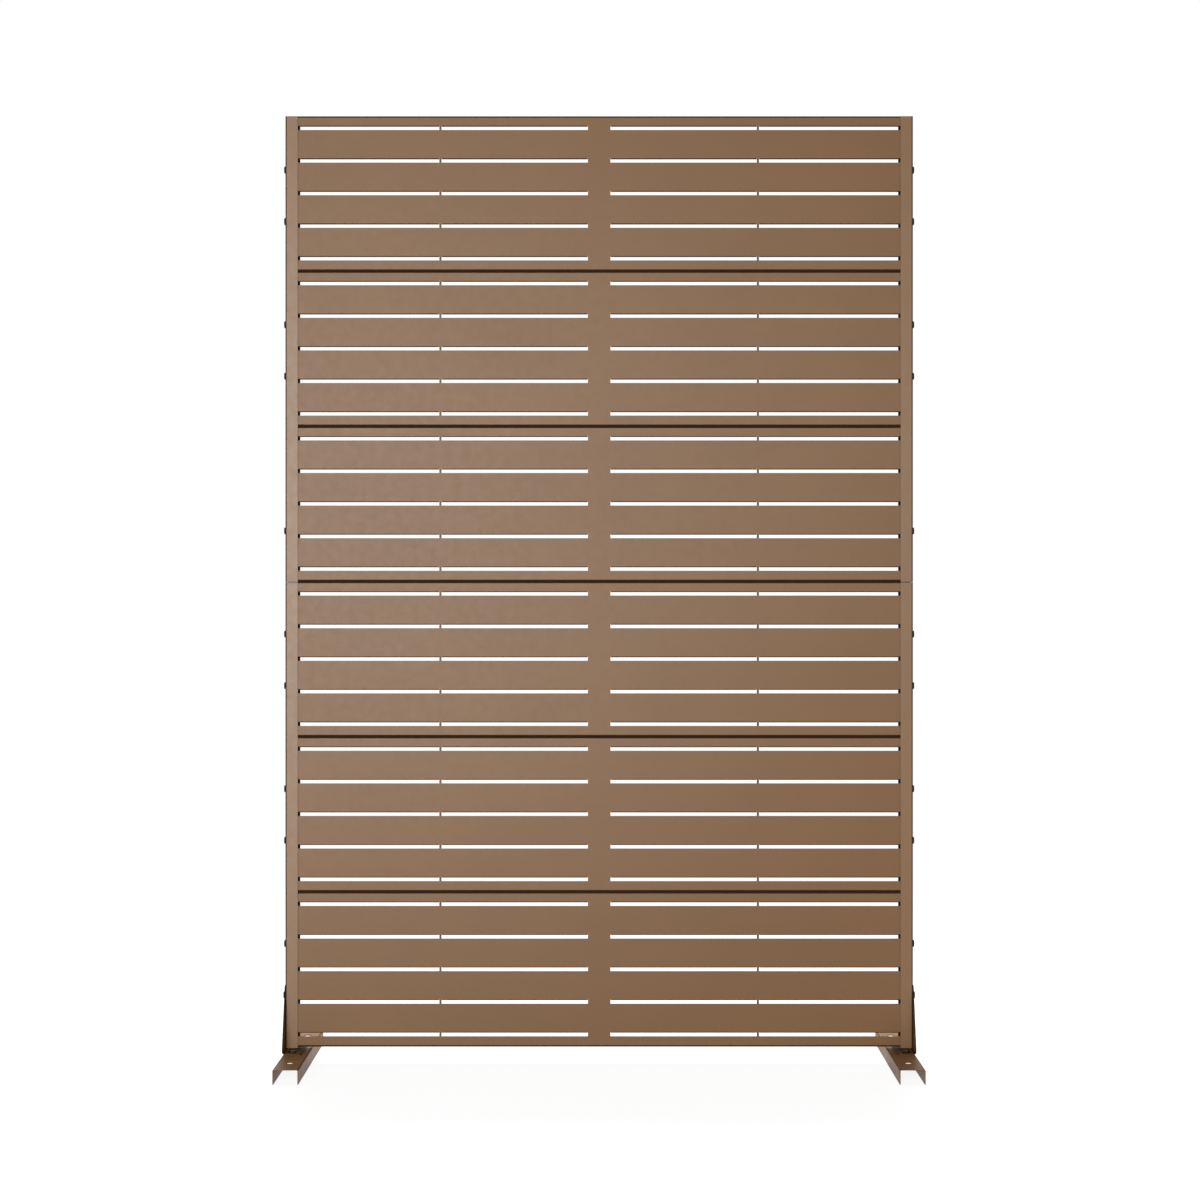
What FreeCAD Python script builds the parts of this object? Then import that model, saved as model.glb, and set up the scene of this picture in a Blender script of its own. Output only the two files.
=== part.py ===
import FreeCAD, Part
import math
import os

# A free-standing garden privacy screen: six slotted sheet-metal trays between two channel posts,
# each post screwed to an L bracket that stands on a channel foot.
# Millimetres. X runs along the screen, the front faces -Y, and Z is up from the ground at Z = 0.
# The right-hand pieces are modelled, and their mirror images make the left-hand ones.

# ---- panels, numbered from the top, each standing on the one below
panels_per_post = 3          # each length of post carries this many
panel_height = 300.0
panel_depth = 33.0           # how far the folded edges reach back
panel_sheet = 1.0
panel_bend = 4.0             # outside radius of the folds
corner_notch = 6.0           # square relief where two folds meet

# ---- slots: rows of long openings, each with its upper edge turned back into a lip
slot_rows = 5
row_margin = 24.0            # from the panel's edge to the middle of the nearest opening
slot_height = 6.6            # clear opening under the lip
slot_end = 13.0              # from the panel's end to the outer slot
stile_width = 43.5           # plain strip down the middle of the panel
bridge_width = 4.0           # strip that parts the two slots on each side
bridge_crest = 1.5           # what is left flat on its front, between two bevels
lip_fold = 1.7               # the upper edge slants back over this height and depth
lip_depth = 2.5
lip_relief = 0.5             # cut free of the sheet at each end

# ---- posts: channels with the web outwards, in two lengths that butt, each as long as its panels
screen_width = 1213.0        # over the webs
post_depth = 38.0
post_flange = 24.0
post_sheet = 1.5
post_bend = 3.0
post_drop = 1.5              # below the lowest panel
post_joint = 0.5             # between the two lengths
panel_setback = 0.5          # from the post's front flange to the panel

# ---- splices: a flat plate across each butt joint, behind the panels' end folds
splice_sheet = 2.0
splice_width = 22.0
splice_end = 17.0            # beyond the screw
splice_corner = 4.0          # cut off straight

# ---- feet: upside-down channels from front to back
foot_length = 381.0
foot_width = 48.0
foot_height = 28.0
foot_sheet = 1.5
foot_bend = 3.0
anchor_hole = 14.0
anchor_end = 60.0            # from the foot's end to the anchor hole

# ---- brackets: a tapering side plate on the post's web and a base flange on the foot
bracket_sheet = 1.5
bracket_bend = 5.0
bracket_reach = 37.0         # beyond the post's faces, at the base
bracket_base = 38.0          # width of the base flange
bracket_shoulder = 2.0       # straight edge above the bend, before the taper
bracket_top_inset = 2.0      # the plate's top is this much narrower than the post, at each side
bracket_head = 21.0          # above the screw
bracket_corner = 5.0
bracket_clearance = 0.5      # from the top of the bend to the end of the post

# ---- fasteners: hexagon-headed screws and nuts
screw_drops = (102.0, 202.0)  # below each panel's top
bare_panel = 3               # this panel has no screw at its upper hole
base_screw_reach = 26.0      # from the post's faces to the screws in the base flange
screw_diameter = 8.0
screw_length = 16.0
screw_hole = 8.7
head_width = 13.0            # across flats, as for the nut
head_height = 4.2
nut_width = 13.0
nut_height = 6.5
nut_bore = 8.4
round_sides = 8              # small holes and shanks repeat often, so each is drawn with a few flats

# ---- places worked out from the sizes above
panel_count = 2 * panels_per_post
web_outside = screen_width / 2
web_inside = web_outside - post_sheet
panel_front = -post_depth / 2 + post_sheet + panel_setback
panel_back = panel_front + panel_depth
base_top = foot_height + bracket_sheet
post_bottom = foot_height + bracket_bend + bracket_clearance
screen_top = post_bottom + post_drop + panel_count * panel_height
post_length = panels_per_post * panel_height
slots_start = stile_width / 2
slots_stop = web_inside - slot_end
slot_length = (slots_stop - slots_start - bridge_width) / 2
bridge_middle = (slots_start + slots_stop) / 2
foot_middle = web_outside - foot_width / 2
bracket_outside = web_outside + bracket_sheet
bracket_inside = bracket_outside - bracket_base
anchor_reach = foot_length / 2 - anchor_end
base_screw_x = bracket_outside - bracket_base / 2
base_screw_y = post_depth / 2 + base_screw_reach

X_AXIS = FreeCAD.Vector(1, 0, 0)
Y_AXIS = FreeCAD.Vector(0, 1, 0)
Z_AXIS = FreeCAD.Vector(0, 0, 1)
ORIGIN = FreeCAD.Vector(0, 0, 0)


def point(x, y, z):
    return FreeCAD.Vector(x, y, z)


def near(first, second):
    return abs(first - second) < 1e-6


def block(x, y, z):
    """A box between two values on each axis."""
    return Part.makeBox(x[1] - x[0], y[1] - y[0], z[1] - z[0], point(x[0], y[0], z[0]))


def prism(corners, along):
    """A flat outline of straight sides, pushed along a vector."""
    return Part.Face(Part.makePolygon(corners + corners[:1])).extrude(along)


def bar(sides, diameter, start, along):
    """A regular prism whose corners lie on this diameter, from the middle of one end."""
    across = Y_AXIS if near(along.dot(Y_AXIS), 0) else X_AXIS
    other = across.cross(along).normalize()
    corners = []
    for side in range(sides):
        turn = 2 * math.pi * side / sides
        corners.append(start + (across * math.cos(turn) + other * math.sin(turn)) * (diameter / 2))
    return prism(corners, along)


def hexagon(width, start, along):
    return bar(6, width / math.cos(math.pi / 6), start, along)


def rod(diameter, start, along):
    """A small round rod, or the cutter of a small round hole."""
    return bar(round_sides, diameter, start, along)


def rounded(solid, radius, picked):
    """The solid with a fillet on each edge whose middle is picked."""
    edges = [edge for edge in solid.Edges if picked(edge.CenterOfMass)]
    return solid.makeFillet(radius, edges)


def mirrored(shape):
    """The left-hand twin of a right-hand shape."""
    return shape.mirror(ORIGIN, X_AXIS)


# ---- where the panels and screws are

def panel_top(number):
    return screen_top - (number - 1) * panel_height


def screw_heights():
    """Every screw in one post, from the top down."""
    heights = []
    for number in range(1, panel_count + 1):
        for drop in screw_drops:
            if number != bare_panel or drop != screw_drops[0]:
                heights.append(panel_top(number) - drop)
    return heights


def lowest_screw():
    return panel_top(panel_count) - screw_drops[-1]


def joint_screws():
    """The two screws next to the butt joint."""
    above = panel_top(panels_per_post) - screw_drops[-1]
    below = panel_top(panels_per_post + 1) - screw_drops[0]
    return above, below


def side_holes(heights, inside, outside):
    """Cutters for screws through sheets that stand between two values of X."""
    return [rod(screw_hole, point(inside, 0, z), X_AXIS * (outside - inside)) for z in heights]


def base_holes(bottom, top):
    """Cutters for the two screws that go down through the base flange."""
    along = Z_AXIS * (top - bottom)
    return [rod(screw_hole, point(base_screw_x, y, bottom), along) for y in (-base_screw_y, base_screw_y)]


# ---- panel

def tray():
    """The folded sheet of the top panel before its slots: open at the back, notched at the corners."""
    top = panel_top(1)
    bottom = top - panel_height
    outer = block((-web_inside, web_inside), (panel_front, panel_back), (bottom, top))
    outer = rounded(outer, panel_bend, lambda middle: near(middle.y, panel_front))
    floor = panel_front + panel_sheet
    inner = block(
        (panel_sheet - web_inside, web_inside - panel_sheet),
        (floor, panel_back + panel_bend),
        (bottom + panel_sheet, top - panel_sheet),
    )
    inner = rounded(inner, panel_bend - panel_sheet, lambda middle: near(middle.y, floor))
    notches = []
    for x in (-web_inside, web_inside - corner_notch):
        for z in (bottom, top - corner_notch):
            notches.append(block((x, x + corner_notch), (panel_front, panel_back), (z, z + corner_notch)))
    return outer.cut([inner] + notches)


def row_heights():
    """The middle of the opening in each row of slots of the top panel."""
    first = panel_top(1) - row_margin
    last = panel_top(1) - panel_height + row_margin
    return [first + (last - first) * row / (slot_rows - 1) for row in range(slot_rows)]


def row_window(z):
    """What is cut for one row right of the stile: both slots, and the sheet of their lips."""
    return block(
        (slots_start, slots_stop),
        (panel_front - panel_sheet, panel_front + 2 * panel_sheet),
        (z - slot_height / 2, z + slot_height / 2 + lip_fold),
    )


def slot_lip(start, z):
    """The upper edge of one slot, slanted back and then level."""
    profile = (
        (0, 0),
        (lip_fold, lip_fold),
        (lip_depth, lip_fold),
        (lip_depth, lip_fold - panel_sheet),
        (panel_sheet, 0),
    )
    edge = z + slot_height / 2 + lip_fold
    corners = [point(start + lip_relief, panel_front + back, edge - drop) for back, drop in profile]
    return prism(corners, X_AXIS * (slot_length - 2 * lip_relief))


def row_bridge(z):
    """The bevelled strip that parts the two slots of one row."""
    half_width = bridge_width / 2
    half_crest = bridge_crest / 2
    profile = ((-half_width, panel_sheet), (-half_crest, 0), (half_crest, 0), (half_width, panel_sheet))
    foot = z - slot_height / 2
    corners = [point(bridge_middle + aside, panel_front + back, foot) for aside, back in profile]
    return prism(corners, Z_AXIS * (slot_height + lip_fold))


def panel():
    """The top panel, in its place."""
    windows = []
    additions = []
    for z in row_heights():
        windows.append(row_window(z))
        additions.append(row_bridge(z))
        for start in (slots_start, slots_stop - slot_length):
            additions.append(slot_lip(start, z))
    windows += [mirrored(window) for window in windows]
    additions += [mirrored(addition) for addition in additions]
    heights = [panel_top(1) - drop for drop in screw_drops]
    holes = side_holes(heights, -web_outside, web_outside)
    return tray().cut(windows + holes).fuse(additions).removeSplitter()


# ---- posts and splices

def channel(web, flange, length, sheet, bend):
    """A channel along Z from the origin: its web on X = 0, its flanges towards -X."""
    side = web / 2
    outer = block((-flange, 0), (-side, side), (0, length))
    outer = rounded(outer, bend, lambda middle: near(middle.x, 0) and near(abs(middle.y), side))
    inner = block((-flange - sheet, -sheet), (sheet - side, side - sheet), (0, length))
    inner = rounded(
        inner,
        bend - sheet,
        lambda middle: near(middle.x, -sheet) and near(abs(middle.y), side - sheet),
    )
    return outer.cut(inner)


def post(bottom):
    """One length of the right-hand post, standing on this height."""
    shape = channel(post_depth, post_flange, post_length, post_sheet, post_bend)
    shape.translate(point(web_outside, 0, bottom))
    heights = [z for z in screw_heights() if bottom < z < bottom + post_length]
    return shape.cut(side_holes(heights, web_inside - post_sheet, web_outside + post_sheet))


def splice():
    """The right-hand plate that ties the two lengths of post, held by the screws next to the joint."""
    outside = web_inside - panel_sheet
    inside = outside - splice_sheet
    side = splice_width / 2
    above, below = joint_screws()
    bottom = below - splice_end
    top = above + splice_end
    outline = (
        (splice_corner - side, bottom),
        (side - splice_corner, bottom),
        (side, bottom + splice_corner),
        (side, top - splice_corner),
        (side - splice_corner, top),
        (splice_corner - side, top),
        (-side, top - splice_corner),
        (-side, bottom + splice_corner),
    )
    shape = prism([point(inside, y, z) for y, z in outline], X_AXIS * splice_sheet)
    return shape.cut(side_holes(joint_screws(), inside - splice_sheet, outside + splice_sheet))


# ---- feet and brackets

def foot():
    """The right-hand foot: a channel on its flanges, its outer side in line with the post's web."""
    shape = channel(foot_width, foot_height, foot_length, foot_sheet, foot_bend)
    shape.rotate(ORIGIN, Y_AXIS, -90)
    shape.rotate(ORIGIN, Z_AXIS, 90)
    shape.translate(point(foot_middle, foot_length / 2, foot_height))
    bottom = foot_height - 2 * foot_sheet
    top = foot_height + foot_sheet
    anchors = []
    for y in (-anchor_reach, anchor_reach):
        start = point(foot_middle, y, bottom)
        anchors.append(Part.makeCylinder(anchor_hole / 2, top - bottom, start, Z_AXIS))
    return shape.cut(anchors + base_holes(bottom, top))


def angle_section():
    """The bracket's bent sheet before it is trimmed: side plate, bend and base flange."""
    half = post_depth / 2 + bracket_reach
    top = lowest_screw() + bracket_head
    outer = block((bracket_inside, bracket_outside), (-half, half), (foot_height, top))
    outer = rounded(
        outer,
        bracket_bend,
        lambda middle: near(middle.x, bracket_outside) and near(middle.z, foot_height),
    )
    inner = block((bracket_inside - bracket_sheet, web_outside), (-half, half), (base_top, top))
    inner = rounded(
        inner,
        bracket_bend - bracket_sheet,
        lambda middle: near(middle.x, web_outside) and near(middle.z, base_top),
    )
    return outer.cut(inner)


def bracket():
    """The right-hand bracket, with its side plate tapering from the base to the post's width."""
    base = post_depth / 2 + bracket_reach
    narrow = post_depth / 2 - bracket_top_inset
    top = lowest_screw() + bracket_head
    shoulder = foot_height + bracket_bend + bracket_shoulder
    side = (
        (-base, foot_height),
        (base, foot_height),
        (base, shoulder),
        (narrow, top),
        (-narrow, top),
        (-base, shoulder),
    )
    trim = prism([point(bracket_inside, y, z) for y, z in side], X_AXIS * bracket_base)
    trim = rounded(trim, bracket_corner, lambda middle: near(middle.z, top) and near(abs(middle.y), narrow))
    shape = angle_section().common(trim)
    shape = rounded(
        shape,
        bracket_corner,
        lambda middle: near(middle.x, bracket_inside) and near(abs(middle.y), base),
    )
    holes = side_holes([lowest_screw()], web_inside, bracket_outside + bracket_sheet)
    return shape.cut(holes + base_holes(foot_height - bracket_sheet, base_top + bracket_sheet))


# ---- fasteners

def screw(seat, outward):
    """A screw whose head sits on this point and faces this way."""
    head = hexagon(head_width, seat, outward * head_height)
    return head.fuse(rod(screw_diameter, seat, outward * -screw_length))


def nut(seat, inward):
    """A nut that sits on this point, on the far side of the sheets."""
    along = inward * nut_height
    return hexagon(nut_width, seat, along).cut(rod(nut_bore, seat, along))


def panel_fasteners():
    """The screws of the right-hand post, heads outwards, and their nuts inside the panels."""
    screws = []
    nuts = []
    for z in screw_heights():
        head_seat = bracket_outside if near(z, lowest_screw()) else web_outside
        nut_seat = web_inside - panel_sheet
        if z in joint_screws():
            nut_seat -= splice_sheet
        screws.append(screw(point(head_seat, 0, z), X_AXIS))
        nuts.append(nut(point(nut_seat, 0, z), -X_AXIS))
    return Part.makeCompound(screws), Part.makeCompound(nuts)


def foot_fasteners():
    """The screws through the right-hand base flange, and their nuts under the foot's web."""
    screws = []
    nuts = []
    for y in (-base_screw_y, base_screw_y):
        screws.append(screw(point(base_screw_x, y, base_top), Z_AXIS))
        nuts.append(nut(point(base_screw_x, y, foot_height - foot_sheet), -Z_AXIS))
    return Part.makeCompound(screws), Part.makeCompound(nuts)


# ---- the whole screen

def build():
    """Every node of the screen by name."""
    nodes = {}
    top_panel = panel()
    for number in range(1, panel_count + 1):
        nodes[f"panel_{number}"] = top_panel.translated(Z_AXIS * (panel_top(number) - panel_top(1)))
    panel_screws, panel_nuts = panel_fasteners()
    foot_screws, foot_nuts = foot_fasteners()
    right = {
        "upper_post": post(post_bottom + post_length + post_joint),
        "lower_post": post(post_bottom),
        "splice": splice(),
        "foot": foot(),
        "bracket": bracket(),
        "panel_screws": panel_screws,
        "panel_nuts": panel_nuts,
        "foot_screws": foot_screws,
        "foot_nuts": foot_nuts,
    }
    for name, shape in right.items():
        nodes[name + "_right"] = shape
        nodes[name + "_left"] = mirrored(shape)
    return nodes


os.makedirs("parts", exist_ok=True)
for node_name, node_shape in build().items():
    node_shape.exportStep(f"parts/{node_name}.step")
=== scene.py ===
import math

import bmesh
import bpy
from mathutils import Matrix, Vector


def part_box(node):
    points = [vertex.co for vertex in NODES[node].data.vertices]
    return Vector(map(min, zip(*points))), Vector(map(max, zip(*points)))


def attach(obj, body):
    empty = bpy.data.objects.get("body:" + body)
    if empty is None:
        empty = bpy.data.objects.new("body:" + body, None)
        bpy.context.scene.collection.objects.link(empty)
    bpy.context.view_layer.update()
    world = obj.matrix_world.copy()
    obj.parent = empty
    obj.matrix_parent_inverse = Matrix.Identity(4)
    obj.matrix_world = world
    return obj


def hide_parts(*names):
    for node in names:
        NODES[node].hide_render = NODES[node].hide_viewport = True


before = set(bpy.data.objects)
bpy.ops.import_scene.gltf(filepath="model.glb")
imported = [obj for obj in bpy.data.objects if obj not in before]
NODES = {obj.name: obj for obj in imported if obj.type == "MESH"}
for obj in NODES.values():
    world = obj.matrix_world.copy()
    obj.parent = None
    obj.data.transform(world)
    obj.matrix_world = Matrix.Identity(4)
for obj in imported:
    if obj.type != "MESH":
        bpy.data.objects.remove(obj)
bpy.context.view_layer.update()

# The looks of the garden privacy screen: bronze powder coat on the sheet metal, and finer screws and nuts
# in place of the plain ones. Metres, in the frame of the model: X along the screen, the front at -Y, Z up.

# ---- camera: the lens and the sensor in millimetres
CAMERA_PLACE = (0.00765, -4.399, 0.9228)
CAMERA_TURN = (math.pi / 2, 0.0, 0.0)   # level, along Y
CAMERA_SHIFT = (-0.0026, -0.0102)
CAMERA_REACH = 200.0
LENS = 68.006
SENSOR = 36.0

# ---- light: each lamp's name, place, target, side and watts
LAMPS = (
    ("key", (-1.19, -4.3, 1.065), (0.0, 0.0, 0.95), 2.4, 155.0),
    ("fill", (0.80, -4.3, 1.42), (0.0, 0.0, 0.95), 1.2, 20.0),
    ("top", (0.0, 1.5, 4.0), (0.0, 0.1, 0.0), 2.0, 290.0),
)
WORLD_FILL = 0.19                       # what the world gives to matt surfaces
WHITE = (1.0, 1.0, 1.0, 1.0)

# ---- floor: pairs are for the light that falls on other things, and for the eye
FLOOR_HALF = 40.0
FLOOR_MATT = (0.55, 0.20)
FLOOR_GLOW = (0.0, 0.90)
FLOOR_FADE = (1.1, 3.0)                 # the distances between which the shadow runs out into white

# ---- coats: linear colour, specular level, and roughness
# the feet's bronze is the panels' coat made a little darker: painted shade
FOOT_SHADED_BRONZE = (0.160, 0.074, 0.020)
BEND_SHADE_BRONZE = (0.030, 0.010, 0.001)     # painted shade on the bends, lips and bevels, but not those of the feet
PANEL_COAT = {"colour": (0.179, 0.0885, 0.032), "shine": 0.35, "satin": 0.42}
POST_COAT = {"colour": (0.180, 0.0865, 0.025), "shine": 0.60, "satin": 0.42}
FOOT_COAT = {"colour": FOOT_SHADED_BRONZE, "shine": 0.20, "satin": 0.45, "bend": FOOT_SHADED_BRONZE}
# the brackets' bronze is the same coat made much darker: painted shade under the posts
BRACKET_SHADED_COAT = {"colour": (0.110, 0.045, 0.010), "shine": 0.10, "satin": 0.50}
BEND_SPAN = (0.982, 0.9995)             # how squarely the sheet faces an axis on a bend, and where it is flat
HOLLOW_SHADE = 0.04                     # painted shade on the coat inside the posts
JOINT_SHADE = 0.05                      # painted shade on the coat at the joint between the two lengths of a post
JOINT_SPAN = (0.0008, 0.0015)           # from the middle of the joint, where that shade fades and ends
POST_SHEET = 0.0015                     # thickness of the posts' sheet

# ---- bare metals: linear colours
DARK_STEEL = (0.007, 0.0065, 0.006)
DARK_STEEL_SHINE = 0.2
ZINC = (0.60, 0.60, 0.58)

# ---- patterns: features to the metre, then the least and the most that they give
NOISE_SPAN = (0.3, 0.7)                 # within which nearly all of the noise lies
NOISE_ROUGHNESS = 0.55
NOISE_DETAIL = 3.0
FINE_DETAIL = 2.0
COAT_CLOUDS = (6.0, 0.96, 1.04)
COAT_GRAIN = (900.0, 0.95, 1.05)
COAT_SATIN_SCALE = 60.0
COAT_SATIN_SPREAD = 0.03
STEEL_TONE = (300.0, 0.8, 1.3)
STEEL_ROUGHNESS = (500.0, 0.20, 0.30)
ZINC_TONE = (120.0, 0.82, 1.05)
ZINC_ROUGHNESS = (240.0, 0.30, 0.48)

# ---- bumps: features to the metre, strength and depth
COAT_PEEL = (700.0, 0.05, 0.0004)
STEEL_PEEL = (900.0, 0.08, 0.0002)
ZINC_PEEL = (800.0, 0.06, 0.0002)

# ---- screws and nuts
HEAD_WIDTH = 0.013                      # across flats, as for the nuts
HEAD_HEIGHT = 0.0042
FACE_RADIUS = 0.47 * HEAD_WIDTH         # of the round faces, where the chamfers start
WASHER_FACE = 0.0004                    # height of the round face that bears on the sheet
CHAMFER_SLOPE = math.tan(math.radians(30))
SCREW_LENGTH = 0.016                    # below the head
SHANK_RADIUS = 0.004
THREAD_START = 0.0045                   # below the head
THREAD_DEPTH = 0.0005
THREAD_PITCH = 0.00125
NUT_BORE = 0.0042                       # radius
NUT_HEIGHT = 0.0065
TURN_STEPS = 48
THREAD_STEPS = 4                        # rings for each turn of the thread
WELD_DISTANCE = 1e-6


# ---- node helpers

def bare_tree(owner, kind):
    """The emptied node tree of a material or world, and its output node."""
    owner.use_nodes = True
    tree = owner.node_tree
    tree.nodes.clear()
    return tree, tree.nodes.new("ShaderNodeOutput" + kind)


def put(tree, value, socket):
    """A link from another node's output, or else a plain value, on this input."""
    if isinstance(value, bpy.types.NodeSocket):
        tree.links.new(value, socket)
    else:
        socket.default_value = value


def add(tree, kind, values=(), **settings):
    """A new node with these settings, and these values or links on its inputs."""
    node = tree.nodes.new("ShaderNode" + kind)
    for name, value in settings.items():
        setattr(node, name, value)
    for socket, value in dict(values).items():
        put(tree, value, node.inputs[socket])
    return node


def place_of(tree):
    """The place in the object's own space."""
    return add(tree, "TexCoord").outputs["Object"]


def combined(tree, operation, first, second=0.0):
    """The result of one Math node."""
    return add(tree, "Math", {0: first, 1: second}, operation=operation).outputs["Value"]


def sizes_of(tree, vector):
    """How far a vector reaches along X, Y and Z, whichever way it points."""
    size = add(tree, "VectorMath", {0: vector}, operation="ABSOLUTE")
    return add(tree, "SeparateXYZ", {"Vector": size.outputs["Vector"]}).outputs


def scaled(tree, colour, factor):
    """A colour times a grey factor that varies over the surface."""
    return add(tree, "VectorMath", {0: colour, "Scale": factor}, operation="SCALE").outputs["Vector"]


def remap(tree, value, low, high, start=0.0, stop=1.0):
    """The value taken from one range to another."""
    values = {"Value": value, "From Min": start, "From Max": stop, "To Min": low, "To Max": high}
    return add(tree, "MapRange", values).outputs["Result"]


def noise(tree, scale, detail=NOISE_DETAIL):
    """Noise in the object's own space, with this many features to the metre."""
    values = {"Vector": place_of(tree), "Scale": scale, "Detail": detail, "Roughness": NOISE_ROUGHNESS}
    return add(tree, "TexNoise", values).outputs["Fac"]


def pattern(tree, scale, low, high, detail=NOISE_DETAIL):
    """Noise that varies between a least and a most."""
    return remap(tree, noise(tree, scale, detail), low, high, *NOISE_SPAN)


# ---- materials

def outside_of(tree, hollow):
    """1 outside a hollow that runs up and down, and 0 in it: its sizes are half widths in X and Y."""
    sizes = sizes_of(tree, place_of(tree))
    beyond = [combined(tree, "GREATER_THAN", sizes[axis], half) for axis, half in zip("XY", hollow)]
    return combined(tree, "MAXIMUM", *beyond)


def away_from(tree, height):
    """1 away from this height, and JOINT_SHADE, a painted shade, at it."""
    parts = add(tree, "SeparateXYZ", {"Vector": place_of(tree)}).outputs
    distance = combined(tree, "ABSOLUTE", combined(tree, "SUBTRACT", parts["Z"], height))
    return remap(tree, distance, JOINT_SHADE, 1.0, *JOINT_SPAN)


def flatness(tree):
    """1 on the flat faces of the sheet metal, and 0 on its bends, lips and bevels."""
    sizes = sizes_of(tree, add(tree, "NewGeometry").outputs["True Normal"])
    largest = combined(tree, "MAXIMUM", combined(tree, "MAXIMUM", sizes["X"], sizes["Y"]), sizes["Z"])
    return remap(tree, largest, 0.0, 1.0, *BEND_SPAN)


def finish(name, colour, roughness, peel, detail=NOISE_DETAIL, **constants):
    """A material whose colour and roughness come from its own tree, with a fine bump over it.

    The colour and the roughness are made by functions of the tree. The constants are values for the
    shader's own inputs, with _ for the spaces in their names.
    """
    material = bpy.data.materials.new(name)
    tree, output = bare_tree(material, "Material")
    shader = add(tree, "BsdfPrincipled")
    tree.links.new(shader.outputs["BSDF"], output.inputs["Surface"])
    put(tree, colour(tree), shader.inputs["Base Color"])
    put(tree, roughness(tree), shader.inputs["Roughness"])
    scale, strength, depth = peel
    values = {"Height": noise(tree, scale, detail), "Strength": strength, "Distance": depth}
    put(tree, add(tree, "Bump", values).outputs["Normal"], shader.inputs["Normal"])
    for socket, value in constants.items():
        shader.inputs[socket.replace("_", " ")].default_value = value
    return material


def powder_coat(name, colour, shine, satin, bend=BEND_SHADE_BRONZE, hollow=None, joint=None):
    """Satin powder coat: fine orange peel, faint clouds of colour, and duller bends with painted shade.

    The hollow is a half width and a half depth, inside which the coat is dull and darkened with painted
    shade. The joint is the height at which two lengths meet, where the coat gets a band of painted shade.
    """
    def bronze(tree):
        grain = pattern(tree, *COAT_GRAIN, detail=FINE_DETAIL)
        tone_and_painted_shade = combined(tree, "MULTIPLY", pattern(tree, *COAT_CLOUDS), grain)
        if hollow:
            # painted shade inside the hollow posts
            shade = remap(tree, outside_of(tree, hollow), HOLLOW_SHADE, 1.0)
            tone_and_painted_shade = combined(tree, "MULTIPLY", tone_and_painted_shade, shade)
        if joint:
            # painted shade in a narrow band at the joint
            tone_and_painted_shade = combined(tree, "MULTIPLY", tone_and_painted_shade, away_from(tree, joint))
        # painted shade: the bends, lips and bevels take the darker bend colour
        values = {0: flatness(tree), 6: (*bend, 1.0), 7: (*colour, 1.0)}
        mix = add(tree, "Mix", values, data_type="RGBA")
        return scaled(tree, mix.outputs[2], tone_and_painted_shade)

    def roughness(tree):
        least, most = satin - COAT_SATIN_SPREAD, satin + COAT_SATIN_SPREAD
        dull = remap(tree, flatness(tree), 1.0, 0.0)
        if hollow:
            dull = combined(tree, "MAXIMUM", dull, remap(tree, outside_of(tree, hollow), 1.0, 0.0))
        return combined(tree, "MAXIMUM", pattern(tree, COAT_SATIN_SCALE, least, most), dull)

    return finish(name, bronze, roughness, COAT_PEEL, FINE_DETAIL, Specular_IOR_Level=shine)


def dark_steel(name):
    """The black finish of the screws."""
    return finish(
        name,
        lambda tree: scaled(tree, DARK_STEEL, pattern(tree, *STEEL_TONE)),
        lambda tree: pattern(tree, *STEEL_ROUGHNESS),
        STEEL_PEEL,
        Specular_IOR_Level=DARK_STEEL_SHINE,
    )


def zinc_plate(name):
    """Dull zinc on the nuts and on the plates inside the posts."""
    return finish(
        name,
        lambda tree: scaled(tree, ZINC, pattern(tree, *ZINC_TONE)),
        lambda tree: pattern(tree, *ZINC_ROUGHNESS),
        ZINC_PEEL,
        Metallic=1.0,
    )


# ---- stage, light and camera

def placed(name, data):
    """A new object in the scene."""
    thing = bpy.data.objects.new(name, data)
    bpy.context.scene.collection.objects.link(thing)
    return thing


def white_for_the_eye(tree):
    """1 for camera, glossy and transmission rays, and 0 for the rest."""
    rays = add(tree, "LightPath").outputs
    seen = combined(tree, "MAXIMUM", rays["Is Camera Ray"], rays["Is Glossy Ray"])
    return combined(tree, "MAXIMUM", seen, rays["Is Transmission Ray"])


def make_world():
    """White behind the object, and a plain soft fill on it."""
    world = bpy.data.worlds.new("studio")
    bpy.context.scene.world = world
    tree, output = bare_tree(world, "World")
    strength = remap(tree, white_for_the_eye(tree), WORLD_FILL, 1.0)
    background = add(tree, "Background", {"Color": WHITE, "Strength": strength})
    tree.links.new(background.outputs["Background"], output.inputs["Surface"])


def make_floor():
    """A pale floor that keeps the shadow near the object and runs out into white."""
    mesh = bpy.data.meshes.new("floor")
    corners = [(x * FLOOR_HALF, y * FLOOR_HALF, 0) for x, y in ((-1, -1), (1, -1), (1, 1), (-1, 1))]
    mesh.from_pydata(corners, [], [(0, 1, 2, 3)])
    floor = placed("floor", mesh)
    material = bpy.data.materials.new("floor")
    tree, output = bare_tree(material, "Material")
    eye = white_for_the_eye(tree)
    matt = add(tree, "BsdfDiffuse", {"Color": remap(tree, eye, *FLOOR_MATT)})
    glow = add(tree, "Emission", {"Color": WHITE, "Strength": remap(tree, eye, *FLOOR_GLOW)})
    near = add(tree, "AddShader", {0: matt.outputs["BSDF"], 1: glow.outputs["Emission"]})
    far = add(tree, "Emission", {"Color": WHITE, "Strength": remap(tree, eye, WORLD_FILL, 1.0)})
    distance = add(tree, "VectorMath", {0: place_of(tree)}, operation="LENGTH").outputs["Value"]
    fade = remap(tree, distance, 0.0, 1.0, *FLOOR_FADE)
    mix = add(tree, "MixShader", {0: fade, 1: near.outputs["Shader"], 2: far.outputs["Emission"]})
    tree.links.new(mix.outputs["Shader"], output.inputs["Surface"])
    mesh.materials.append(material)


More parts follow.
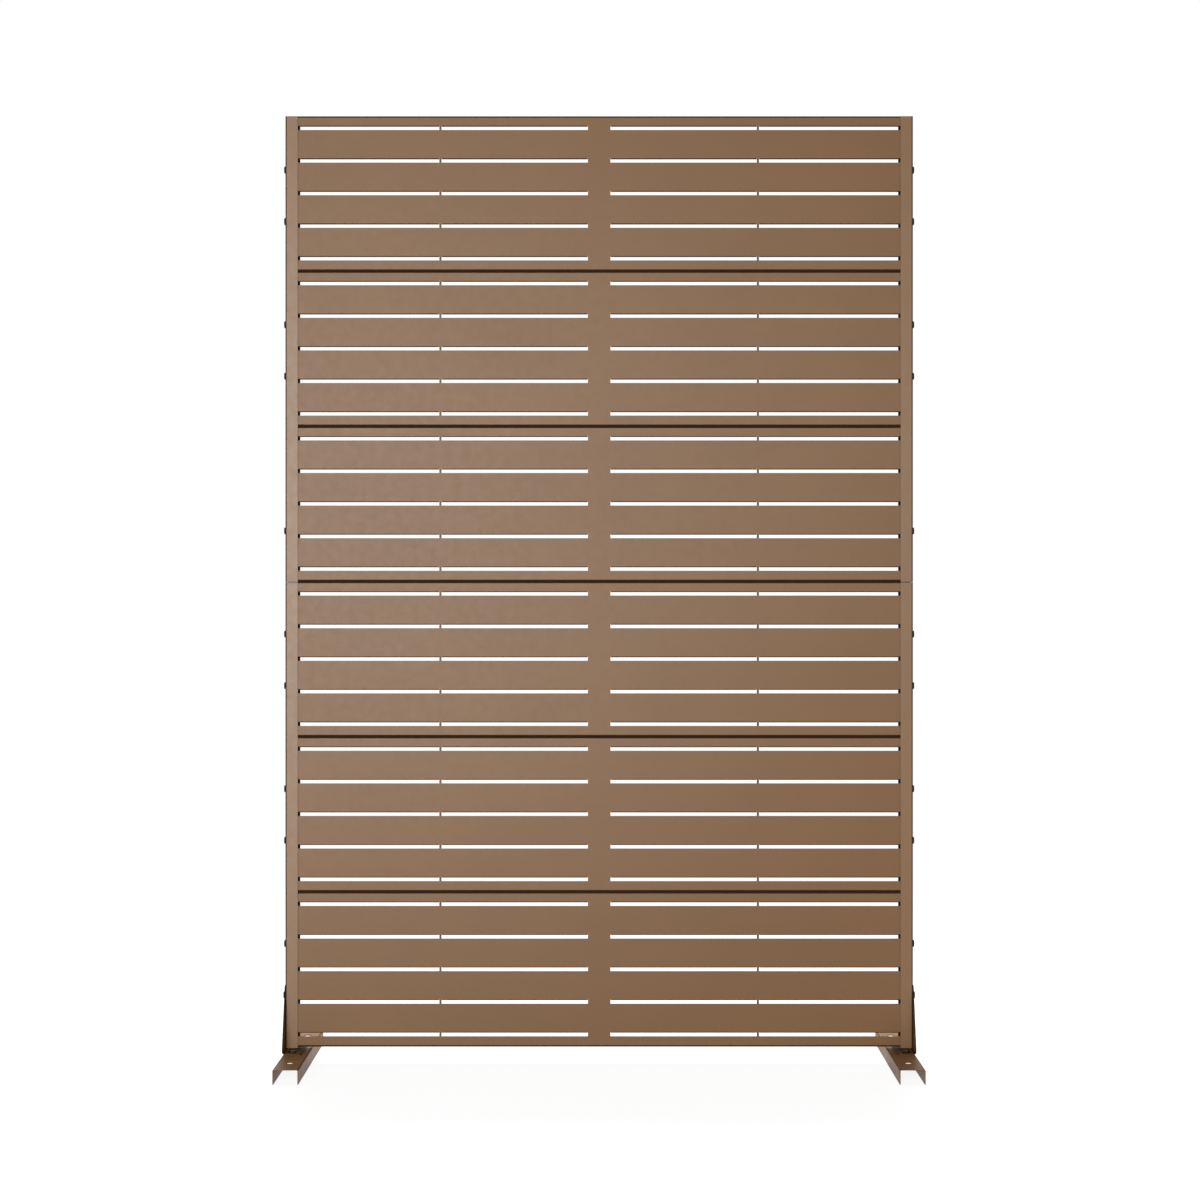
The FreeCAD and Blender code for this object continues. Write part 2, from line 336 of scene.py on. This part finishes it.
def make_lamp(name, place, target, side, watts):
    """A square soft light at one place, turned to face another."""
    lamp = bpy.data.lights.new(name, "AREA")
    lamp.shape = "SQUARE"
    lamp.size = side
    lamp.energy = watts
    thing = placed(name, lamp)
    thing.location = place
    thing.rotation_euler = (Vector(target) - Vector(place)).to_track_quat("-Z", "Y").to_euler()


def make_camera():
    """The camera of the photograph."""
    camera = bpy.data.cameras.new("camera")
    camera.sensor_width = SENSOR
    camera.lens = LENS
    camera.shift_x, camera.shift_y = CAMERA_SHIFT
    camera.clip_end = CAMERA_REACH
    thing = placed("camera", camera)
    thing.location = CAMERA_PLACE
    thing.rotation_euler = CAMERA_TURN
    bpy.context.scene.camera = thing


# ---- finer screws and nuts

def ring(mesh, height, radius_at):
    """Points round the Z axis. The radius may depend on the turn, and the height on the radius."""
    points = []
    for step in range(TURN_STEPS):
        turn = 2 * math.pi * step / TURN_STEPS
        radius = radius_at(turn)
        level = height(radius) if callable(height) else height
        points.append(mesh.verts.new((radius * math.cos(turn), radius * math.sin(turn), level)))
    return points


def skin(mesh, rings):
    """Faces between each ring and the next."""
    for low, high in zip(rings, rings[1:]):
        for step in range(TURN_STEPS):
            after = (step + 1) % TURN_STEPS
            mesh.faces.new((low[step], low[after], high[after], high[step]))


def hexagonal(turn):
    """The radius of a hexagon at this turn."""
    sixth = math.pi / 3
    return HEAD_WIDTH / 2 / math.cos((turn % sixth) - sixth / 2)


def round_to(radius):
    """The same radius at every turn."""
    return lambda turn: radius


def threaded(down, inset=0.0):
    """The radius of the thread at this depth below the head."""
    def radius(turn):
        phase = (down / THREAD_PITCH - turn / (2 * math.pi)) % 1.0
        return SHANK_RADIUS - THREAD_DEPTH * (1 - abs(2 * phase - 1)) - inset
    return radius


def chamfered(top, sign=1):
    """The height of a hexagon's edge where a cone has turned off its corners."""
    return lambda radius: top - sign * max(0.0, radius - FACE_RADIUS) * CHAMFER_SLOPE


def fine_screw():
    """A screw along Z with its seat at the origin: chamfered head, washer face and threaded shank."""
    mesh = bmesh.new()
    turns = int((SCREW_LENGTH - THREAD_START) / THREAD_PITCH)
    rings = [ring(mesh, -SCREW_LENGTH, threaded(SCREW_LENGTH, THREAD_DEPTH))]
    for count in range(1, turns * THREAD_STEPS + 1):
        down = SCREW_LENGTH - count * THREAD_PITCH / THREAD_STEPS
        rings.append(ring(mesh, -down, threaded(down)))
    rings += [
        ring(mesh, -THREAD_START + THREAD_DEPTH, round_to(SHANK_RADIUS)),
        ring(mesh, 0.0, round_to(SHANK_RADIUS)),
        ring(mesh, 0.0, round_to(FACE_RADIUS)),
        ring(mesh, WASHER_FACE, round_to(FACE_RADIUS)),
        ring(mesh, WASHER_FACE, hexagonal),
        ring(mesh, chamfered(HEAD_HEIGHT), hexagonal),
        ring(mesh, HEAD_HEIGHT, round_to(FACE_RADIUS)),
    ]
    skin(mesh, rings)
    mesh.faces.new(reversed(rings[0]))
    mesh.faces.new(rings[-1])
    return mesh


def fine_nut():
    """A nut along Z with its seat at the origin, its corners turned off at both ends."""
    mesh = bmesh.new()
    countersink = NUT_BORE + THREAD_DEPTH
    rings = [
        ring(mesh, 0.0, round_to(countersink)),
        ring(mesh, 0.0, round_to(FACE_RADIUS)),
        ring(mesh, chamfered(0.0, -1), hexagonal),
        ring(mesh, chamfered(NUT_HEIGHT), hexagonal),
        ring(mesh, NUT_HEIGHT, round_to(FACE_RADIUS)),
        ring(mesh, NUT_HEIGHT, round_to(countersink)),
        ring(mesh, NUT_HEIGHT - THREAD_DEPTH, round_to(NUT_BORE)),
        ring(mesh, THREAD_DEPTH, round_to(NUT_BORE)),
    ]
    skin(mesh, rings + rings[:1])
    return mesh


def solids_of(node):
    """The lowest and highest corner of each separate solid of a node."""
    mesh = bmesh.new()
    mesh.from_mesh(NODES[node].data)
    bmesh.ops.remove_doubles(mesh, verts=mesh.verts, dist=WELD_DISTANCE)
    left = set(mesh.verts)
    boxes = []
    for first in mesh.verts:
        if first not in left:
            continue
        left.remove(first)
        group = [first]
        for member in group:
            for link in member.link_edges:
                vertex = link.other_vert(member)
                if vertex in left:
                    left.remove(vertex)
                    group.append(vertex)
        low = Vector([min(vertex.co[axis] for vertex in group) for axis in range(3)])
        high = Vector([max(vertex.co[axis] for vertex in group) for axis in range(3)])
        boxes.append((low, high))
    mesh.free()
    return boxes


def heads_face(node):
    """The way the screws' heads face: up on the feet, and away from the middle on the posts."""
    if node.startswith("foot"):
        return Vector((0, 0, 1))
    return Vector((math.copysign(1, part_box(node)[0][0]), 0, 0))


def fine_fasteners(node, make, material):
    """One mesh with a finer screw or nut in the place of each of the node's own."""
    screws = make is fine_screw
    direction = heads_face(node) if screws else -heads_face(node)
    turned = direction.to_track_quat("Z", "Y").to_matrix().to_4x4()
    joined = bmesh.new()
    for low, high in solids_of(node):
        half = abs((high - low).dot(direction)) / 2
        seat = (low + high) / 2 + direction * (half - HEAD_HEIGHT if screws else -half)
        single = make()
        single.transform(Matrix.Translation(seat) @ turned)
        spare = bpy.data.meshes.new("single")
        single.to_mesh(spare)
        single.free()
        joined.from_mesh(spare)
        bpy.data.meshes.remove(spare)
    bmesh.ops.recalc_face_normals(joined, faces=joined.faces)
    mesh = bpy.data.meshes.new(node + "_fine")
    joined.to_mesh(mesh)
    joined.free()
    piece = placed(node + "_fine", mesh)
    mesh.materials.append(material)
    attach(piece, "root")
    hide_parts(node)


# ---- the screen

def post_marks():
    """The half width and half depth of the hollow in the posts, and the height of their joint."""
    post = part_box("upper_post_right")
    hollow = (post[1][0] - POST_SHEET / 2, post[1][1] - POST_SHEET / 2)
    joint = (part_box("lower_post_right")[1][2] + post[0][2]) / 2
    return hollow, joint


def dress_screen():
    """A finish on every node, and finer screws and nuts for the plain ones."""
    hollow, joint = post_marks()
    finishes = {"panel": powder_coat("panel_coat", **PANEL_COAT)}
    finishes["upper"] = powder_coat("post_coat", **POST_COAT, hollow=hollow, joint=joint)
    finishes["lower"] = finishes["upper"]
    finishes["foot"] = powder_coat("foot_coat", **FOOT_COAT)
    finishes["bracket"] = powder_coat("bracket_coat", **BRACKET_SHADED_COAT)
    screws = dark_steel("dark_fastener")
    plated = zinc_plate("plated_steel")
    finishes["splice"] = plated
    for node, thing in NODES.items():
        if "screws" in node:
            fine_fasteners(node, fine_screw, screws)
        elif "nuts" in node:
            fine_fasteners(node, fine_nut, plated)
        else:
            thing.data.materials.clear()
            thing.data.materials.append(finishes[node.split("_")[0]])


make_camera()
make_world()
make_floor()
for lamp_values in LAMPS:
    make_lamp(*lamp_values)
dress_screen()

bpy.context.scene.view_settings.view_transform = "Standard"
